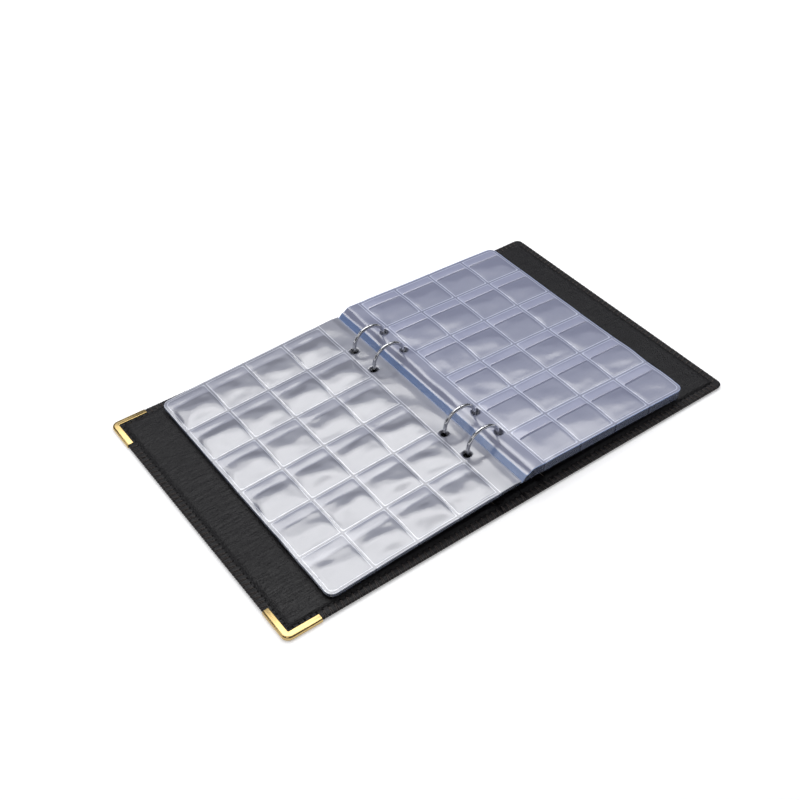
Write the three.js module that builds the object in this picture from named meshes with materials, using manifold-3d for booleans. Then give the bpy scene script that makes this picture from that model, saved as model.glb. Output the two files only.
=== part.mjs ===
// Pocket coin album lying open: two boards hinged to a spine, a four-ring mechanism riveted to the
// spine, and ten pocket leaves threaded on the rings. Millimetres. The origin is the centre of the
// spine's under side, +X runs to the back cover, +Y to the head and +Z up.
import * as THREE from 'three'
import { mergeVertices } from 'three/addons/utils/BufferGeometryUtils.js'
import Module from 'manifold-3d'

const wasm = await Module()
wasm.setup()

// Driving dimensions
const openWidth = 320
const albumHeight = 193
const hingeX = 15.5
const hingeGap = 0.5
const spineWrapHalf = hingeX - 0.3
const spineBoardHalf = 11
const spineLiningHalf = 12
const wrapThickness = 0.8
const spineWrapThickness = 0.7
const boardThickness = 1.6
const liningThickness = 0.6
const glueLine = 0.1
const rimWidth = 5.5
const rimSlope = 1.5
const hemTop = 1.5
const boardInset = 7.4
const boardHingeInset = 2.1
const coverCornerRadius = 4
const hingeCornerRadius = 0.4
const leastInnerRadius = 0.6
const spineCornerRadius = 0.5
// How far the lining's levels stand in from the hinge edge, and by how much its under side trails its top
const liningHingeInset = { panel: 1.5, rim: 0.3 }
const liningTrail = { panel: 0.2, rim: 0.4 }

const threadInset = 4.2
const threadWidth = 0.5
const threadHeight = 0.25
const threadGap = 0.05
const threadHingeInset = 2

const cornerLeg = 22
const cornerLip = 3.5
const cornerSheet = 0.45
const cornerGap = 0.1
const cornerRecessGrow = 0.8

const ringRadius = 11
const wireRadius = 1.1
const ringCentreZ = 14.6
const ringInnerY = 35
const ringOuterY = 56
const ringPositions = [-ringOuterY, -ringInnerY, ringInnerY, ringOuterY]
const ringTipGap = 0.15
const ringFootAngle = -72

const housingHalfWidth = 9
const housingHalfLength = 76
const housingRise = 4.7
const housingSheet = 0.8
const rivetY = 68
const rivetShank = 1.5
const rivetPlay = 0.25
const rivetHead = 3.3
const rivetHeadEdge = 0.2
const rivetHeadDome = 0.55
const slotInner = 4.4
const slotHalf = 1.7
const carrierHalfLength = 64
const carrierInnerX = 0.25
const carrierPivotX = 7.2
const carrierLift = 1.2
const carrierRise = 0.2
const carrierSheet = 0.8
const footGap = 0.08

const leafCount = 10
const leavesOnFront = 3
const leafPitch = 1
const leafInner = 1.3
const leafOuter = 129.5
const leafHalfHeight = 90.5
const leafDroop = THREE.MathUtils.degToRad(2.5)
const filmThickness = 0.2
const filmSpread = 0.15
const leafCornerRadius = 5
const leafInnerRadius = 1.5
const punchRadius = 3.2
const punchOffset = 0.9
const columns = 4
const rows = 6
const pocketEdge = 1.2
const pocketWidth = 27
const pocketPitchX = 28
const mouthDrop = 8
const mouthHeight = 0.6

// Levels of the cover's layers above the table
const boardBottom = wrapThickness + glueLine
const boardTop = boardBottom + boardThickness
const liningBottom = boardTop + glueLine
const liningTop = liningBottom + liningThickness
const rimBottom = hemTop + glueLine
const rimTop = rimBottom + liningThickness
const halfWidth = openWidth / 2
const halfHeight = albumHeight / 2
const housingBase = liningTop + glueLine
const threadBottom = rimTop + threadGap

// How far cutting solids run past what they cut, and how deep joined solids sink into each other
const overshoot = 5
const fuse = 0.1

const album = new THREE.Group()

const materials = {
  leatherette: { color: '#26252a', roughness: 0.5, metalness: 0 },
  greyboard: { color: '#8b8478', roughness: 0.9, metalness: 0 },
  thread: { color: '#3a2c26', roughness: 0.8, metalness: 0 },
  gilt: { color: '#d8b45a', roughness: 0.22, metalness: 1 },
  nickel: { color: '#c9cbd0', roughness: 0.2, metalness: 1 },
  steel: { color: '#9a9ca2', roughness: 0.35, metalness: 1 },
  film: { color: '#dfe3f2', roughness: 0.15, metalness: 0 },
}

function addPart(name, geometry, look, parent = album) {
  const mesh = new THREE.Mesh(geometry, new THREE.MeshStandardMaterial(materials[look]))
  mesh.name = name
  parent.add(mesh)
  return mesh
}

// Closed mesh to solid and back
function toSolid(geometry) {
  const bare = geometry.index ? geometry.clone() : geometry
  bare.deleteAttribute('normal')
  bare.deleteAttribute('uv')
  const merged = mergeVertices(bare, 1e-4)
  const vertProperties = new Float32Array(merged.attributes.position.array)
  const triVerts = new Uint32Array(merged.index.array)
  return new wasm.Manifold(new wasm.Mesh({ numProp: 3, vertProperties, triVerts }))
}

function toGeometry(solid) {
  const mesh = solid.getMesh()
  const geometry = new THREE.BufferGeometry()
  geometry.setAttribute('position', new THREE.BufferAttribute(new Float32Array(mesh.vertProperties), 3))
  geometry.setIndex(new THREE.BufferAttribute(new Uint32Array(mesh.triVerts), 1))
  return geometry
}

// Corners of an upright box with rounded corners, counter-clockwise from the tail-left one. The radii
// run tail-left, tail-right, head-right, head-left, and every corner has the same number of points.
function roundedPoints({ left, right, tail, head }, radii, steps = 5) {
  const corners = [
    [left, tail, 1, 1],
    [right, tail, -1, 1],
    [right, head, -1, -1],
    [left, head, 1, -1],
  ]
  return corners.flatMap(([x, y, inX, inY], corner) => {
    const radius = radii[corner]
    return Array.from({ length: steps + 1 }, (_, step) => {
      const turn = Math.PI * (1 + corner / 2 + step / steps / 2)
      const along = x + inX * radius + radius * Math.cos(turn)
      return [along, y + inY * radius + radius * Math.sin(turn)]
    })
  })
}

function polygon(points) {
  return new THREE.Shape(points.map(([x, y]) => new THREE.Vector2(x, y)))
}

// Plate standing on z = bottom
function plate(outline, bottom, top, segments = 3) {
  const settings = { depth: top - bottom, bevelEnabled: false, curveSegments: segments }
  return new THREE.ExtrudeGeometry(outline, settings).translate(0, 0, bottom)
}

// Bar along Y whose section is drawn in X and Z
function barAlongY(section, halfLength, segments = 6) {
  const settings = { depth: 2 * halfLength, bevelEnabled: false, curveSegments: segments }
  return new THREE.ExtrudeGeometry(section, settings).rotateX(Math.PI / 2).translate(0, halfLength, 0)
}

// Solid through a run of closed loops with equal point counts, capped at both ends
function loft(loops) {
  const count = loops[0].length
  const positions = loops.flat().flatMap((point) => [point.x, point.y, point.z])
  const index = []
  for (let ring = 0; ring < loops.length - 1; ring++) {
    for (let i = 0; i < count; i++) {
      const a = ring * count + i
      const b = ring * count + ((i + 1) % count)
      index.push(a, a + count, b, b, a + count, b + count)
    }
  }
  const last = (loops.length - 1) * count
  for (let i = 1; i < count - 1; i++) {
    index.push(0, i, i + 1)
    index.push(last, last + i + 1, last + i)
  }
  const geometry = new THREE.BufferGeometry()
  geometry.setAttribute('position', new THREE.Float32BufferAttribute(positions, 3))
  geometry.setIndex(index)
  return geometry
}

// Bounds of one cover, drawn in from its fore edge, its hinge edge and its head and tail
function coverBounds(side, inset, hingeInset) {
  const fore = side * (halfWidth - inset)
  const hinge = side * (hingeX + hingeGap + hingeInset)
  return {
    left: Math.min(fore, hinge),
    right: Math.max(fore, hinge),
    tail: -(halfHeight - inset),
    head: halfHeight - inset,
  }
}

function coverPoints(side, inset, hingeInset) {
  const fore = Math.max(coverCornerRadius - inset, leastInnerRadius)
  const hinge = hingeCornerRadius
  const radii = side < 0 ? [fore, hinge, hinge, fore] : [hinge, fore, fore, hinge]
  return roundedPoints(coverBounds(side, inset, hingeInset), radii)
}

function coverLoop(side, inset, hingeInset, z) {
  return coverPoints(side, inset, hingeInset).map(([x, y]) => new THREE.Vector3(x, y, z))
}

// Metal corner seen from above in its own corner frame: u and v run inward from the cover's corner
const cornerOut = cornerGap + cornerSheet
function cornerPlan(side, end, points) {
  const place = ([u, v]) => [side * (halfWidth - u), end * (halfHeight - v)]
  const placed = points.map(place)
  return polygon(side * end < 0 ? placed.reverse() : placed)
}

function cornerArc(offset, radius) {
  const centre = radius + offset
  const steps = [0, 1, 2, 3, 4]
  return steps.map((step) => {
    const turn = Math.PI + (step / 4) * (Math.PI / 2)
    return [centre + radius * Math.cos(turn), centre + radius * Math.sin(turn)]
  })
}

function cornerTriangle(side, end, offset, grow) {
  const arc = cornerArc(offset, coverCornerRadius - offset)
  const leg = cornerLeg + grow
  return cornerPlan(side, end, [[offset, leg], ...arc, [leg, offset]])
}

function cornerBand(side, end, outer, inner) {
  const outside = cornerArc(outer, coverCornerRadius - outer)
  const inside = cornerArc(inner, Math.max(coverCornerRadius - inner, leastInnerRadius)).reverse()
  const start = [outer, cornerLeg]
  const back = [cornerLeg, outer]
  return cornerPlan(side, end, [start, ...outside, back, [cornerLeg, inner], ...inside, [inner, cornerLeg]])
}

function metalCorner(side, end) {
  const lipBottom = rimTop + cornerGap
  const lipTop = lipBottom + cornerSheet
  const under = toSolid(plate(cornerTriangle(side, end, -cornerOut, 0), 0, cornerSheet))
  const wall = toSolid(plate(cornerBand(side, end, -cornerOut, -cornerGap), 0, lipTop))
  const lip = toSolid(plate(cornerBand(side, end, -cornerOut, cornerLip), lipBottom, lipTop))
  return toGeometry(under.add(wall).add(lip))
}

// Cover: outer wrap with a turned hem, board, lining stepped down to the sewn rim, seam thread
function outerWrap(side) {
  const sheet = toSolid(plate(polygon(coverPoints(side, 0, 0)), 0, wrapThickness))
  const rim = toSolid(plate(polygon(coverPoints(side, 0, 0)), wrapThickness - fuse, hemTop))
  const inner = coverBounds(side, rimWidth, -overshoot)
  const pocket = polygon([
    [inner.left, inner.tail],
    [inner.right, inner.tail],
    [inner.right, inner.head],
    [inner.left, inner.head],
  ])
  let wrap = sheet.add(rim.subtract(toSolid(plate(pocket, 0, hemTop + overshoot))))
  if (side < 0) {
    for (const end of [-1, 1]) {
      const outline = cornerTriangle(side, end, -1, cornerRecessGrow)
      const recess = plate(outline, -overshoot, cornerSheet + cornerGap)
      wrap = wrap.subtract(toSolid(recess))
    }
  }
  return toGeometry(wrap)
}

function lining(side) {
  const hinge = liningHingeInset
  const trail = liningTrail
  return loft([
    coverLoop(side, rimWidth + rimSlope, hinge.panel, liningTop),
    coverLoop(side, rimWidth, hinge.rim, rimTop),
    coverLoop(side, 0, 0, rimTop),
    coverLoop(side, 0, 0, rimBottom),
    coverLoop(side, rimWidth + trail.rim, hinge.rim + trail.rim, rimBottom),
    coverLoop(side, rimWidth + rimSlope + trail.panel, hinge.panel + 2 * trail.panel, liningBottom),
  ])
}

function seamThread(side) {
  const hinge = side * (hingeX + hingeGap + threadHingeInset)
  const fore = side * (halfWidth - threadInset)
  const foreIn = fore - side * threadWidth
  const edge = halfHeight - threadInset
  const edgeIn = edge - threadWidth
  const path = [
    [hinge, edge], [fore, edge], [fore, -edge], [hinge, -edge],
    [hinge, -edgeIn], [foreIn, -edgeIn], [foreIn, edgeIn], [hinge, edgeIn],
  ]
  const outline = polygon(side > 0 ? path.reverse() : path)
  return plate(outline, threadBottom, threadBottom + threadHeight)
}

for (const [prefix, side] of [['front_cover', -1], ['back_cover', 1]]) {
  addPart(`${prefix}_outer_wrap`, outerWrap(side), 'leatherette')
  const board = polygon(coverPoints(side, boardInset, boardHingeInset))
  addPart(`${prefix}_board`, plate(board, boardBottom, boardTop), 'greyboard')
  addPart(`${prefix}_lining`, lining(side), 'leatherette')
  addPart(`${prefix}_seam_thread`, seamThread(side), 'thread')
}
addPart('front_cover_tail_corner', metalCorner(-1, -1), 'gilt')
addPart('front_cover_head_corner', metalCorner(-1, 1), 'gilt')

// Spine: wrap, board and lining, the last two drilled for the rivets
function spinePlate(half, length, bottom, top, drilled) {
  const bounds = { left: -half, right: half, tail: -length, head: length }
  const outline = polygon(roundedPoints(bounds, Array(4).fill(spineCornerRadius), 1))
  if (drilled) {
    for (const y of [-rivetY, rivetY]) {
      outline.holes.push(new THREE.Path().absarc(0, y, rivetShank + rivetPlay, 0, Math.PI * 2, true))
    }
  }
  return plate(outline, bottom, top, 6)
}

addPart('spine_outer_wrap', spinePlate(spineWrapHalf, halfHeight, 0, spineWrapThickness, false), 'leatherette')
const spineBoard = spinePlate(spineBoardHalf, halfHeight - boardInset, boardBottom, boardTop, true)
addPart('spine_board', spineBoard, 'greyboard')
addPart('spine_lining', spinePlate(spineLiningHalf, halfHeight, liningBottom, liningTop, true), 'leatherette')
for (const [name, end] of [['spine_tail_seam_thread', -1], ['spine_head_seam_thread', 1]]) {
  const y = end * (halfHeight - threadInset)
  const reach = spineLiningHalf - 1
  const strip = { left: -reach, right: reach, tail: Math.min(y, y - end * threadWidth) }
  strip.head = strip.tail + threadWidth
  const outline = polygon([
    [strip.left, strip.tail],
    [strip.right, strip.tail],
    [strip.right, strip.head],
    [strip.left, strip.head],
  ])
  const bottom = liningTop + threadGap
  addPart(name, plate(outline, bottom, bottom + threadHeight, 1), 'thread')
}

// Ring mechanism: arched housing with a slot at every wire, two rocking carriers, eight half rings
function archOutline(half, rise, sheet) {
  const steps = 10
  const outer = []
  const inner = []
  for (let i = 0; i <= steps; i++) {
    const turn = (i / steps) * Math.PI
    outer.push([half * Math.cos(turn), housingBase + rise * Math.sin(turn)])
    inner.push([(half - sheet) * Math.cos(turn), housingBase + (rise - sheet) * Math.sin(turn)])
  }
  return polygon([...outer, ...inner.reverse()])
}

function ringHousing() {
  let shell = toSolid(barAlongY(archOutline(housingHalfWidth, housingRise, housingSheet), housingHalfLength))
  for (const y of ringPositions) {
    for (const side of [-1, 1]) {
      const reach = housingHalfWidth + 1 - slotInner
      const slot = new THREE.BoxGeometry(reach, 2 * slotHalf, 2 * (housingRise + overshoot))
      slot.translate(side * (slotInner + reach / 2), y, housingBase)
      shell = shell.subtract(toSolid(slot))
    }
  }
  for (const y of [-rivetY, rivetY]) {
    const hole = new THREE.CylinderGeometry(rivetShank + rivetPlay, rivetShank + rivetPlay, 2 * (housingRise + overshoot), 12)
    hole.rotateX(Math.PI / 2)
    hole.translate(0, y, housingBase)
    shell = shell.subtract(toSolid(hole))
  }
  return toGeometry(shell)
}

function rivet(y) {
  const seat = housingBase + housingRise + glueLine / 2
  const tip = boardBottom + glueLine
  const dome = []
  for (let i = 0; i <= 4; i++) {
    const turn = (i / 4) * (Math.PI / 2)
    dome.push(new THREE.Vector2(rivetHead * Math.cos(turn), seat + rivetHeadEdge + rivetHeadDome * Math.sin(turn)))
  }
  dome[4].x = 0
  const profile = [
    new THREE.Vector2(0, tip),
    new THREE.Vector2(rivetShank, tip),
    new THREE.Vector2(rivetShank, seat),
    new THREE.Vector2(rivetHead, seat),
    ...dome,
  ]
  return new THREE.LatheGeometry(profile, 12).rotateX(Math.PI / 2).translate(0, y, 0)
}

// The carriers' top surface, from the middle of the mechanism out to their rocking edge
function carrierTop(x) {
  return housingBase + carrierLift + (carrierRise * (x - carrierInnerX)) / (carrierPivotX - carrierInnerX)
}

// Band under the carriers' top surface, in X and Z, between two distances from the middle
function carrierSection(side, from, to, lift, depth) {
  const section = [
    [side * from, carrierTop(from) + lift],
    [side * to, carrierTop(to) + lift],
    [side * to, carrierTop(to) + lift - depth],
    [side * from, carrierTop(from) + lift - depth],
  ]
  return polygon(side > 0 ? section.reverse() : section)
}

function carrier(side) {
  return barAlongY(carrierSection(side, carrierInnerX, carrierPivotX, 0, carrierSheet), carrierHalfLength)
}

function halfRing(side, y) {
  const around = 10
  const along = 11
  const first = THREE.MathUtils.degToRad(ringFootAngle)
  const last = Math.acos(ringTipGap / ringRadius)
  const loops = []
  for (let i = 0; i <= along; i++) {
    const turn = first + ((last - first) * i) / along
    const loop = []
    for (let j = 0; j < around; j++) {
      const spin = (j / around) * Math.PI * 2
      const reach = ringRadius + wireRadius * Math.cos(spin)
      const lift = reach * Math.sin(turn)
      loop.push(new THREE.Vector3(side * reach * Math.cos(turn), y + wireRadius * Math.sin(spin), ringCentreZ + lift))
    }
    loops.push(side > 0 ? loop.reverse() : loop)
  }
  const floor = barAlongY(carrierSection(side, -overshoot, ringRadius + overshoot, footGap, overshoot), carrierHalfLength)
  return toGeometry(toSolid(loft(loops)).subtract(toSolid(floor)))
}

addPart('ring_housing', ringHousing(), 'nickel')
addPart('ring_housing_tail_rivet', rivet(-rivetY), 'nickel')
addPart('ring_housing_head_rivet', rivet(rivetY), 'nickel')
for (const [prefix, side] of [['front', -1], ['back', 1]]) {
  addPart(`${prefix}_ring_carrier`, carrier(side), 'steel')
  ringPositions.forEach((y, i) => {
    addPart(`${prefix}_half_ring_${i + 1}`, halfRing(side, y), 'nickel')
  })
}

// Leaves: a plain back film and a pocket film with a mouth across every pocket. They lie in their
// own frame on the ring centre line, which the leaves turn about, and droop toward the fore edge.
function leafOutline(side, offset) {
  const inner = side * leafInner
  const outer = side * leafOuter
  const bounds = {
    left: Math.min(inner, outer),
    right: Math.max(inner, outer),
    tail: -leafHalfHeight,
    head: leafHalfHeight,
  }
  const near = leafInnerRadius
  const far = leafCornerRadius
  const radii = side > 0 ? [near, far, far, near] : [far, near, near, far]
  const outline = polygon(roundedPoints(bounds, radii, 4))
  const punchX = side * (Math.sqrt(ringRadius ** 2 - offset ** 2) + punchOffset)
  for (const y of ringPositions) {
    outline.holes.push(new THREE.Path().absarc(punchX, y, punchRadius, 0, Math.PI * 2, true))
  }
  return outline
}

function cutMouths(film, side) {
  const pitchY = (2 * leafHalfHeight - 2 * pocketEdge) / rows
  let solid = toSolid(film)
  for (let column = 0; column < columns; column++) {
    const x = side * (leafOuter - pocketEdge - pocketPitchX * (column + 0.5))
    for (let row = 0; row < rows; row++) {
      const y = leafHalfHeight - pocketEdge - row * pitchY - mouthDrop
      const mouth = new THREE.BoxGeometry(pocketWidth, mouthHeight, 2 * (leafCount + overshoot)).translate(x, y, 0)
      solid = solid.subtract(toSolid(mouth))
    }
  }
  return toGeometry(solid)
}

for (let i = 0; i < leafCount; i++) {
  const number = String(i + 1).padStart(2, '0')
  const side = i < leavesOnFront ? -1 : 1
  const offset = -side * (i - (leafCount - 1) / 2) * leafPitch
  const leaf = new THREE.Group()
  leaf.position.z = ringCentreZ
  leaf.rotation.y = side * leafDroop
  album.add(leaf)
  // The pocket film is on the leaf's recto, which faces down once the leaf is turned to the front
  const pocketAt = offset + side * (filmSpread + filmThickness / 2)
  const backAt = offset - side * (filmSpread + filmThickness / 2)
  const half = filmThickness / 2
  const pocketFilm = plate(leafOutline(side, offset), pocketAt - half, pocketAt + half, 2)
  const backFilm = plate(leafOutline(side, offset), backAt - half, backAt + half, 2)
  addPart(`leaf_${number}_pocket_film`, cutMouths(pocketFilm, side), 'film', leaf)
  addPart(`leaf_${number}_back_film`, backFilm, 'film', leaf)
}

export default album
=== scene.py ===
# Coin album lying open: sewn leatherette covers, gilt corners, a four-ring mechanism and clear vinyl leaves
import math
import random
import bmesh
import bpy
from mathutils import Matrix, Vector, noise
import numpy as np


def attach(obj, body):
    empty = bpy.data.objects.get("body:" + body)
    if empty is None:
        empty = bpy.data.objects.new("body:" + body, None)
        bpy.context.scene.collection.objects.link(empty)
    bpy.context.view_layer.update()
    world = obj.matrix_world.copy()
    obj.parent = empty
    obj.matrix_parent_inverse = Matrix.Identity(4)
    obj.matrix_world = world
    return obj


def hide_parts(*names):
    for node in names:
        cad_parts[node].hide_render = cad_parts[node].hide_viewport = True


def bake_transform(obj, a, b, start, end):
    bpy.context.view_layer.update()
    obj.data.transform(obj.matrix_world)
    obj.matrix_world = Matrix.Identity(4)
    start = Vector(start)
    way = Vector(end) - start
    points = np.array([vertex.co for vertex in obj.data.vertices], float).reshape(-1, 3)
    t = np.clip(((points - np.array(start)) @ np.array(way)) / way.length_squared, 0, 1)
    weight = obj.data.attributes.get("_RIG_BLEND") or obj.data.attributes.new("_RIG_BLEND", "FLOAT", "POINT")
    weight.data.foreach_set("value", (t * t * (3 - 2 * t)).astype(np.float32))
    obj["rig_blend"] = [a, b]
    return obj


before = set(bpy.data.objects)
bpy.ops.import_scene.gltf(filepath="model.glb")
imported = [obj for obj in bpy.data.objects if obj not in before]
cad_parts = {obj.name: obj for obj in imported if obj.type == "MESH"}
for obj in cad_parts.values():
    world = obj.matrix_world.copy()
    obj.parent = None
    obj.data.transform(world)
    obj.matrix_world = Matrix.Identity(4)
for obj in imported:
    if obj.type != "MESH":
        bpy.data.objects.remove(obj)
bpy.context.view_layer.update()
scene = bpy.context.scene
mm = 0.001


def linear(hexColour):
    channels = [int(hexColour[i:i + 2], 16) / 255 for i in (1, 3, 5)]
    return [c / 12.92 if c <= 0.04045 else ((c + 0.055) / 1.055) ** 2.4 for c in channels] + [1.0]


def addNode(tree, kind, settings=None, links=None):
    node = tree.nodes.new(kind)
    for name, value in (settings or {}).items():
        if isinstance(name, str) and hasattr(node, name):
            setattr(node, name, value)
        else:
            node.inputs[name].default_value = value
    for name, socket in (links or {}).items():
        tree.links.new(socket, node.inputs[name])
    return node


def newMaterial(name, settings):
    material = bpy.data.materials.new(name)
    material.use_nodes = True
    tree = material.node_tree
    shader = tree.nodes["Principled BSDF"]
    for socket, value in settings.items():
        shader.inputs[socket].default_value = value
    return material, tree, shader


def smoothStep(low, high, value):
    t = min(max((value - low) / (high - low), 0.0), 1.0)
    return t * t * (3 - 2 * t)


def mix(a, b, t):
    return a + (b - a) * t


# camera: the album seen from its front left, about 43 degrees down
viewing = {"azimuth": -36.64, "elevation": 42.77, "distance": 714.6, "focalShare": 1.4598}
lookAt = Vector((-7.7, 13.0, 0.0)) * mm
azimuth = math.radians(viewing["azimuth"])
elevation = math.radians(viewing["elevation"])
backward = Vector((
    math.sin(azimuth) * math.cos(elevation), -math.cos(azimuth) * math.cos(elevation), math.sin(elevation),
))
cameraData = bpy.data.cameras.new("camera")
cameraData.sensor_width = 36
cameraData.lens = 36 * viewing["focalShare"]
cameraData.clip_start = 0.01
camera = bpy.data.objects.new("camera", cameraData)
camera.location = lookAt + backward * viewing["distance"] * mm
camera.rotation_euler = backward.to_track_quat("Z", "Y").to_euler()
scene.collection.objects.link(camera)
scene.camera = camera

# studio: white floor, a large softbox behind and above, weaker ones lower down and in front, pale walls
floorMesh = bpy.data.meshes.new("studio_floor")
floorShape = bmesh.new()
bmesh.ops.create_grid(floorShape, x_segments=1, y_segments=1, size=6.0)
floorShape.to_mesh(floorMesh)
floorShape.free()
floor = bpy.data.objects.new("studio_floor", floorMesh)
scene.collection.objects.link(floor)
floorMesh.transform(Matrix.Translation((0, 0, -0.2 * mm)))
floorPaint, _, _ = newMaterial("studio_floor_white", {
    "Base Color": linear("#f4f4f5"), "Roughness": 0.9, "Specular IOR Level": 0.1,
    "Emission Color": linear("#ffffff"), "Emission Strength": 0.35,
})
floorMesh.materials.append(floorPaint)

# lamp directions: azimuth from the head edge towards the back cover, elevation above the floor
lamps = {
    "softbox_overhead": {
        "azimuth": 35, "elevation": 69, "away": 1.3,
        "size": (1.8, 1.13), "watts": 14.5, "colour": "#ffffff",
    },
    "softbox_core": {
        "azimuth": 32, "elevation": 66, "away": 1.28,
        "size": (1.1, 0.42), "watts": 1.6, "colour": "#ffffff",
    },
    "softbox_skirt": {
        "azimuth": 36, "elevation": 39, "away": 1.4,
        "size": (1.8, 0.3), "watts": 1.1, "colour": "#eef2ff",
    },
    "softbox_front": {
        "azimuth": 235, "elevation": 40, "away": 1.5,
        "size": (0.5, 0.9), "watts": 2.2, "colour": "#fffaf2",
    },
    "softbox_side": {
        "azimuth": 300, "elevation": 35, "away": 1.5,
        "size": (0.4, 0.7), "watts": 1.6, "colour": "#f2f6ff",
    },
}
for name, lamp in lamps.items():
    lampData = bpy.data.lights.new(name, "AREA")
    lampData.shape = "RECTANGLE"
    lampData.size, lampData.size_y = lamp["size"]
    lampData.energy = lamp["watts"]
    lampData.color = linear(lamp["colour"])[:3]
    light = bpy.data.objects.new(name, lampData)
    bearing = math.radians(lamp["azimuth"])
    up = math.radians(lamp["elevation"])
    towards = Vector((math.sin(bearing) * math.cos(up), math.cos(bearing) * math.cos(up), math.sin(up)))
    light.location = towards * lamp["away"]
    light.rotation_euler = towards.to_track_quat("Z", "Y").to_euler()
    scene.collection.objects.link(light)

world = bpy.data.worlds.new("studio_world")
world.use_nodes = True
world.node_tree.nodes["Background"].inputs["Color"].default_value = linear("#e4e8f2")
world.node_tree.nodes["Background"].inputs["Strength"].default_value = 0.12
scene.world = world
scene.view_settings.view_transform = "Standard"
scene.cycles.transparent_max_bounces = 64  # a line of sight may cross the films of all ten leaves
print("camera and studio ready")


def leatherette():
    # embossed polyurethane leatherette: near black, fine pebbles and handling creases that catch the light,
    # pricked by the needle along the seam, with painted shade in each needle hole
    grain = {
        "pebble": 0.8 * mm, "pore": 0.25 * mm, "crease": 1.5 * mm, "creaseLength": 8 * mm,
        "creaseTurn": math.radians(-9), "cloud": 30 * mm,
    }
    depth = {"pebble": 0.2 * mm, "pore": 0.04 * mm, "crease": 0.6 * mm, "prick": 0.4 * mm}
    gloss = {"low": 0.26, "high": 0.36, "poreDulls": 0.12, "prickDulls": 0.4}
    needle = {"inset": 4.75, "halfPitch": 1.8, "inner": 0.25, "outer": 0.6}
    material, tree, shader = newMaterial("embossed_pu_leatherette", {"IOR": 1.5, "Specular IOR Level": 0.27})
    place = addNode(tree, "ShaderNodeTexCoord").outputs["Object"]
    pebbles = addNode(tree, "ShaderNodeTexVoronoi", {
        "feature": "SMOOTH_F1", "Scale": 1 / grain["pebble"], "Smoothness": 0.3, "Randomness": 0.9,
    }, {"Vector": place})
    pores = addNode(tree, "ShaderNodeTexNoise", {
        "Scale": 1 / grain["pore"], "Detail": 3.0, "Roughness": 0.6,
    }, {"Vector": place})
    stretched = addNode(tree, "ShaderNodeMapping", {
        "Rotation": (0, 0, grain["creaseTurn"]),
        "Scale": (1 / grain["creaseLength"], 1 / grain["crease"], 1 / grain["creaseLength"]),
    }, {"Vector": place})
    creases = addNode(tree, "ShaderNodeTexNoise", {
        "Scale": 1.0, "Detail": 4.0, "Roughness": 0.6, "Distortion": 0.9,
    }, {"Vector": stretched.outputs["Vector"]})
    cloud = addNode(tree, "ShaderNodeTexNoise", {"Scale": 1 / grain["cloud"], "Detail": 3.0},
                    {"Vector": place})
    inset = addNode(tree, "ShaderNodeAttribute", {"attribute_name": "inset"}).outputs["Fac"]
    run = addNode(tree, "ShaderNodeAttribute", {"attribute_name": "run"}).outputs["Fac"]
    fromLine = addNode(tree, "ShaderNodeMath", {"operation": "SUBTRACT", 1: needle["inset"]}, {0: inset})
    fromHole = addNode(tree, "ShaderNodeMath", {"operation": "PINGPONG", 1: needle["halfPitch"]}, {0: run})
    spread = addNode(tree, "ShaderNodeCombineXYZ", {}, {"X": fromLine.outputs[0], "Y": fromHole.outputs[0]})
    reach = addNode(tree, "ShaderNodeVectorMath", {"operation": "LENGTH"}, {0: spread.outputs[0]})
    pricked = addNode(tree, "ShaderNodeMapRange", {
        "From Min": needle["inner"], "From Max": needle["outer"], "To Min": 1.0, "To Max": 0.0,
    }, {"Value": reach.outputs["Value"]})
    tone = addNode(tree, "ShaderNodeMix", {"data_type": "RGBA", 6: linear("#0c0b0d"), 7: linear("#161417")},
                   {0: cloud.outputs[0]})
    # painted shade: each needle hole is darkened to near black, where shade would fall inside it
    paintedHoleShade = addNode(tree, "ShaderNodeMix", {"data_type": "RGBA", 7: linear("#040304")},
                   {0: pricked.outputs[0], 6: tone.outputs[2]})
    shine = addNode(tree, "ShaderNodeMapRange", {
        "From Min": 0.3, "From Max": 0.7, "To Min": gloss["low"], "To Max": gloss["high"],
    }, {"Value": cloud.outputs[0]})
    dulled = addNode(tree, "ShaderNodeMath", {"operation": "MULTIPLY_ADD", 1: gloss["poreDulls"]}, {
        0: pores.outputs[0], 2: shine.outputs[0],
    })
    rough = addNode(tree, "ShaderNodeMath", {
        "operation": "MULTIPLY_ADD", 1: gloss["prickDulls"], "use_clamp": True,
    }, {0: pricked.outputs[0], 2: dulled.outputs[0]})
    relief = addNode(tree, "ShaderNodeBump", {"Strength": 0.9, "Distance": depth["pebble"]},
                     {"Height": pebbles.outputs["Distance"]})
    fine = addNode(tree, "ShaderNodeBump", {"Strength": 0.5, "Distance": depth["pore"]},
                   {"Height": pores.outputs[0], "Normal": relief.outputs[0]})
    lines = addNode(tree, "ShaderNodeBump", {"Strength": 0.8, "Distance": depth["crease"]},
                    {"Height": creases.outputs[0], "Normal": fine.outputs[0]})
    holes = addNode(tree, "ShaderNodeBump", {"Strength": 1.0, "Distance": depth["prick"], "invert": True},
                    {"Height": pricked.outputs[0], "Normal": lines.outputs[0]})
    tree.links.new(paintedHoleShade.outputs[2], shader.inputs["Base Color"])
    tree.links.new(rough.outputs[0], shader.inputs["Roughness"])
    tree.links.new(holes.outputs[0], shader.inputs["Normal"])
    return material


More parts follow.
